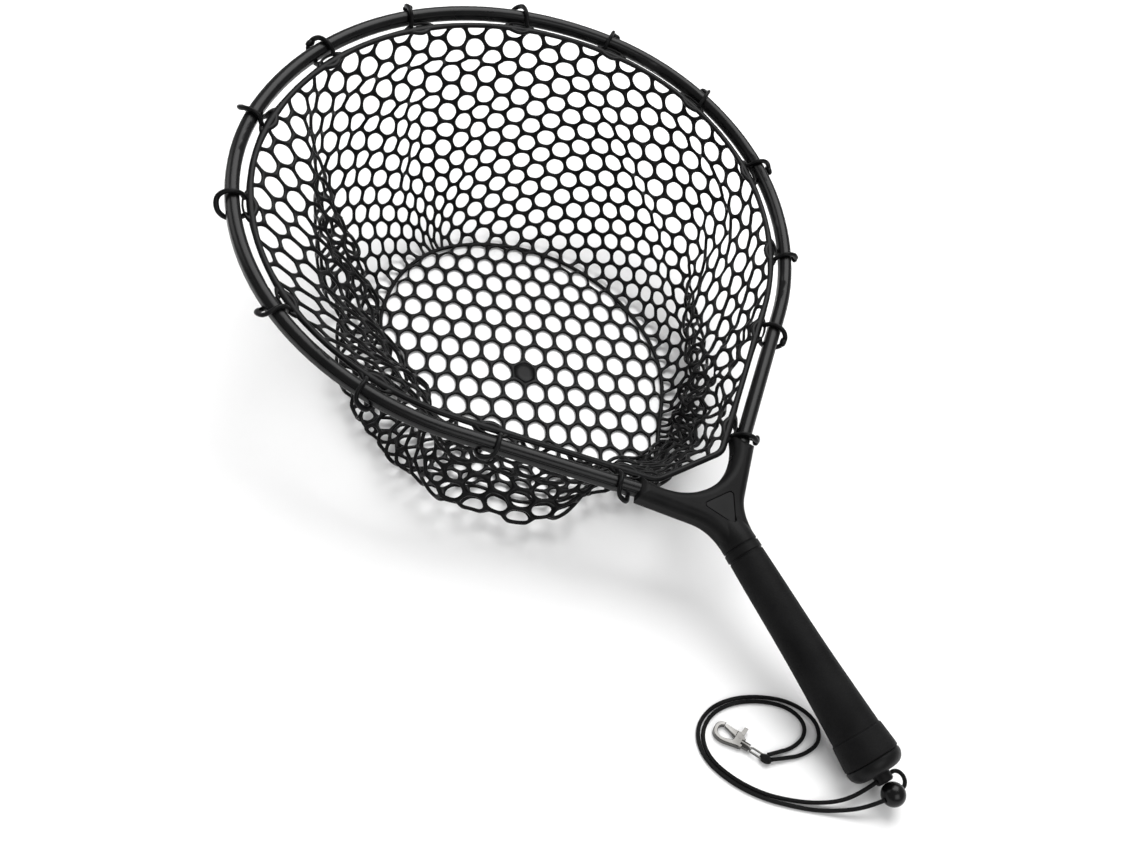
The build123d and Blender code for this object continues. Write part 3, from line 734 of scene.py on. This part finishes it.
def wall_cells():
    """Six-sided cells in columns down the wall, whole and half ones alternating at the rim."""
    shape = np.array([(2 / 3, 0.0), (1 / 3, 0.5), (-1 / 3, 0.5),
                      (-2 / 3, 0.0), (-1 / 3, -0.5), (1 / 3, -0.5)])
    cells = []
    for c in range(COLUMNS):
        odd = c % 2
        for r in range(ROWS + odd):
            middle = r if odd else r + 0.5
            v = np.clip((middle + shape[:, 1]) * 2, 0.0, NJ)
            cells.append(np.column_stack([(c + shape[:, 0]) * SPLIT, v]))
    return np.array(cells)


def wall_keys(q):
    across = np.round(np.mod(q[..., 0], NI) * GRID_KEY).astype(int) % (NI * GRID_KEY)
    return np.stack([across, np.round(q[..., 1] * GRID_KEY).astype(int)], axis=-1)


BASE_PITCH = 14.8
BASE_ROW = 18.2
BASE_ROW_TURN = math.radians(57.0)
BASE_REACH = 16
PATCH = np.array([-78.0, -4.0])


def base_cells():
    """Six-sided cells in rows over the base, those over its edge cut off there."""
    row = np.array([math.cos(BASE_ROW_TURN), math.sin(BASE_ROW_TURN)])
    next_row = np.array([row[1], -row[0]])
    shape = np.array([(0.5, 1 / 3), (0.0, 2 / 3), (-0.5, 1 / 3),
                      (-0.5, -1 / 3), (0.0, -2 / 3), (0.5, -1 / 3)])
    shape = BASE_PITCH * shape[:, :1] * row + BASE_ROW * shape[:, 1:] * next_row
    cells, middles = [], []
    for b in range(-BASE_REACH, BASE_REACH + 1):
        for a in range(-BASE_REACH, BASE_REACH + 1):
            middle = PATCH + BASE_PITCH * (a + 0.5 * (b % 2)) * row + BASE_ROW * b * next_row
            _, rho = base_polar(middle[:1], middle[1:])
            if rho[0] > 1.0:
                continue
            corners = middle + shape
            _, far = base_polar(corners[:, 0], corners[:, 1])
            pull_in = np.maximum(far, 1.0)[:, None]
            cells.append(BASE_CENTRE + (corners - BASE_CENTRE) / pull_in)
            middles.append(middle)
    return np.array(cells), np.array(middles)


def base_keys(q):
    return np.round(q * BASE_KEY).astype(int)


def patch_mesh(ring):
    """A plain filled cell, a little proud of the mesh round it, from the ring of its hole."""
    middle = ring.mean(axis=0)
    around = len(ring)
    up = np.array([0, 0, 1.0])
    layers = [middle + (ring - middle) * share + up * rise
              for share, rise in ((1.12, 0.0), (0.97, 0.95), (0.55, 1.05), (0.1, 1.05), (0.9, -0.9))]
    top, bottom = 3 * around, 4 * around
    quads = loop_quads(4, around, False)
    quads.append(tuple(range(top, top + around)))
    quads += [(k, bottom + k, bottom + (k + 1) % around, (k + 1) % around) for k in range(around)]
    quads.append(tuple(range(bottom + around - 1, bottom - 1, -1)))
    return np.vstack(layers), quads


def make_bag():
    verts, quads, _ = web(wall_surface, wall_cells(), wall_keys)
    wall = mesh_object("bag_mesh_wall", verts, quads, RUBBER)
    cells, middles = base_cells()
    verts, quads, holes = web(base_surface, cells, base_keys)
    base = mesh_object("bag_mesh_base", verts, quads, RUBBER)
    seam = mesh_object("bag_base_seam", *rod(DRAPE[:, NJ], 1.45, 1.3, (0, 0, 1), True, 10), RUBBER)
    filled = int(np.argmin(np.linalg.norm(middles - PATCH, axis=1)))
    patch = mesh_object("bag_base_patch", *patch_mesh(holes[filled]), RUBBER)
    for piece in (wall, base, seam, patch):
        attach(piece, "root")
    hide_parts("bag_wall")
    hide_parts("bag_base")


make_bag()


# ---------------------------------------------------------------- rim band, tabs and straps
def place(tie, out, along, up):
    """Place in the frame, in mm, of a point given from a tie: outwards, along the tube and above it."""
    point, outward, lengthwise = tie
    out, along = np.asarray(out, float), np.asarray(along, float)
    flat = point + out[..., None] * outward + along[..., None] * lengthwise
    return net(flat[..., 0], flat[..., 1], up)


def make_rim():
    """The rim band, a little wider where it is tied to the hoop."""
    where = np.arange(0.0, RIM_LENGTH, 2.5)
    flat = at_length(RIM, where)
    path = net(flat[:, 0], flat[:, 1], -0.6)
    near = tie_nearness(flat, 14.0)
    band = mesh_object("bag_rim_band", *rod(path, 2.0 + 0.5 * near, 1.5, ABOVE, True, 12), RUBBER)
    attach(band, "root")
    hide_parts("bag_rim")


TAB_POINTS = 32
NUB_POINTS = 14
NUB_RINGS = 11


def make_tabs():
    """A fan-shaped web with a half-moon hole next to the tube, at each tie."""
    parts = []
    turn = np.arange(TAB_POINTS) * FULL_TURN / TAB_POINTS
    c, s = np.cos(turn), np.sin(turn)
    out_edge = -9.6 + np.where(s > 0, 4.4 * s, 6.0 * s)
    along_edge = np.where(s > 0, 10.0 + 2.5 * (1 - s), 12.5 * (1 + 0.45 * s)) * c
    out_hole = -8.6 + np.where(s > 0, 2.0 * s, 2.9 * s)
    along_hole = 6.6 * c * (1 + 0.10 * s)
    for tie in TIES:
        rings = []
        for share, up in ((0.0, 0.0), (0.2, 1.2), (0.8, 1.2), (1.0, 0.0), (0.8, -1.2), (0.2, -1.2)):
            out = out_hole + share * (out_edge - out_hole)
            along = along_hole + share * (along_edge - along_hole)
            rings.append(place(tie, out, along, np.full(TAB_POINTS, up - 0.6)))
        parts.append((np.vstack(rings), loop_quads(len(rings), TAB_POINTS, True)))
    verts, quads = join(parts)
    tabs = mesh_object("bag_tabs", verts, quads, RUBBER)
    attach(tabs, "root")


def nub(tie, out, size):
    """The rounded end of a strap, on the outer side of the tube."""
    rings = []
    turn = np.arange(NUB_POINTS) * FULL_TURN / NUB_POINTS
    for a in np.linspace(-1, 1, NUB_RINGS):
        r = math.sqrt(max(1 - a * a, 0.002))
        rings.append(place(tie, out + size[0] * r * np.cos(turn), np.full(NUB_POINTS, size[1] * a),
                           size[2] * r * np.sin(turn)))
    return np.vstack(rings), loop_quads(NUB_RINGS, NUB_POINTS, False)


def make_straps():
    """The ties: open arches along -Y, and straps with a rounded end elsewhere, leaning in turn."""
    parts = []
    for k, tie in enumerate(TIES):
        lean = 1.0 if k % 2 else -1.0
        open_arch = k < 6 or k == 8
        long = 1.4 if k < 6 else 1.0
        slack = 0.8 if open_arch else 0.3 * (k % 3)
        path = [(-7.6, -5.6, -0.6), (-5.6, -5.2, 4.0), (-1.5, -4.4, 7.1), (4.2, -3.4, 6.6),
                (7.8 + slack, -2.6, 2.8), (8.6 + slack, 0.0, 0.0), (7.4 + slack, 2.6, -2.8),
                (3.6, 3.6, -6.6), (-2.0, 4.6, -7.1), (-5.8, 5.2, -4.2), (-7.6, 5.6, -0.8)]
        points = smooth_path([place(tie, o, lean * a * (long if o > 2 else 1.0), u) for o, a, u in path])
        _, _, lengthwise = tie
        along = lengthwise[0] * ALONG + lengthwise[1] * ACROSS
        parts.append(rod(points, 1.7, 1.35, along, False, 12))
        if not open_arch:
            parts.append(nub(tie, 8.0 + slack, (2.2, 3.9, 2.5)))
    verts, quads = join(parts)
    straps = mesh_object("bag_straps", verts, quads, RUBBER)
    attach(straps, "root")
    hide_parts("hoop_loops")


make_rim()
make_tabs()
make_straps()


# ---------------------------------------------------------------- floor and light
FLOOR_HALF = 6
WORLD_STRENGTH = 0.40
# Name, place, size, power and the point it faces, of each light
LIGHTS = (
    ("key", (-0.5, 0.7, 1.7), 1.6, 44, (0, 0, 0)),
    ("fill", (1.6, -0.4, 1.3), 1.2, 15, (0, 0, 0)),
    ("left", (-1.3, -1.0, 1.0), 1.0, 9, (0, 0, 0.1)),
)


def make_stage():
    mesh = bpy.data.meshes.new("floor")
    corners = [(x * FLOOR_HALF, y * FLOOR_HALF, 0) for x, y in ((-1, -1), (1, -1), (1, 1), (-1, 1))]
    mesh.from_pydata(corners, [], [(0, 1, 2, 3)])
    floor = bpy.data.objects.new("floor", mesh)
    scene.collection.objects.link(floor)
    pale = bpy.data.materials.new("pale_floor")
    pale.use_nodes = True
    shader = pale.node_tree.nodes["Principled BSDF"]
    shader.inputs["Base Color"].default_value = (0.86, 0.86, 0.86, 1)
    shader.inputs["Roughness"].default_value = 0.9
    shader.inputs["Specular IOR Level"].default_value = 0.1
    mesh.materials.append(pale)
    world = bpy.data.worlds.new("world")
    world.use_nodes = True
    world.node_tree.nodes["Background"].inputs["Color"].default_value = (1, 1, 1, 1)
    world.node_tree.nodes["Background"].inputs["Strength"].default_value = WORLD_STRENGTH
    scene.world = world
    for name, spot, size, power, aim in LIGHTS:
        data = bpy.data.lights.new(name, "AREA")
        data.shape = "SQUARE"
        data.size = size
        data.energy = power
        light = bpy.data.objects.new(name, data)
        light.location = spot
        light.rotation_mode = "QUATERNION"
        light.rotation_quaternion = (Vector(aim) - Vector(spot)).to_track_quat("-Z", "Y")
        scene.collection.objects.link(light)
    scene.view_settings.view_transform = "Standard"


make_stage()
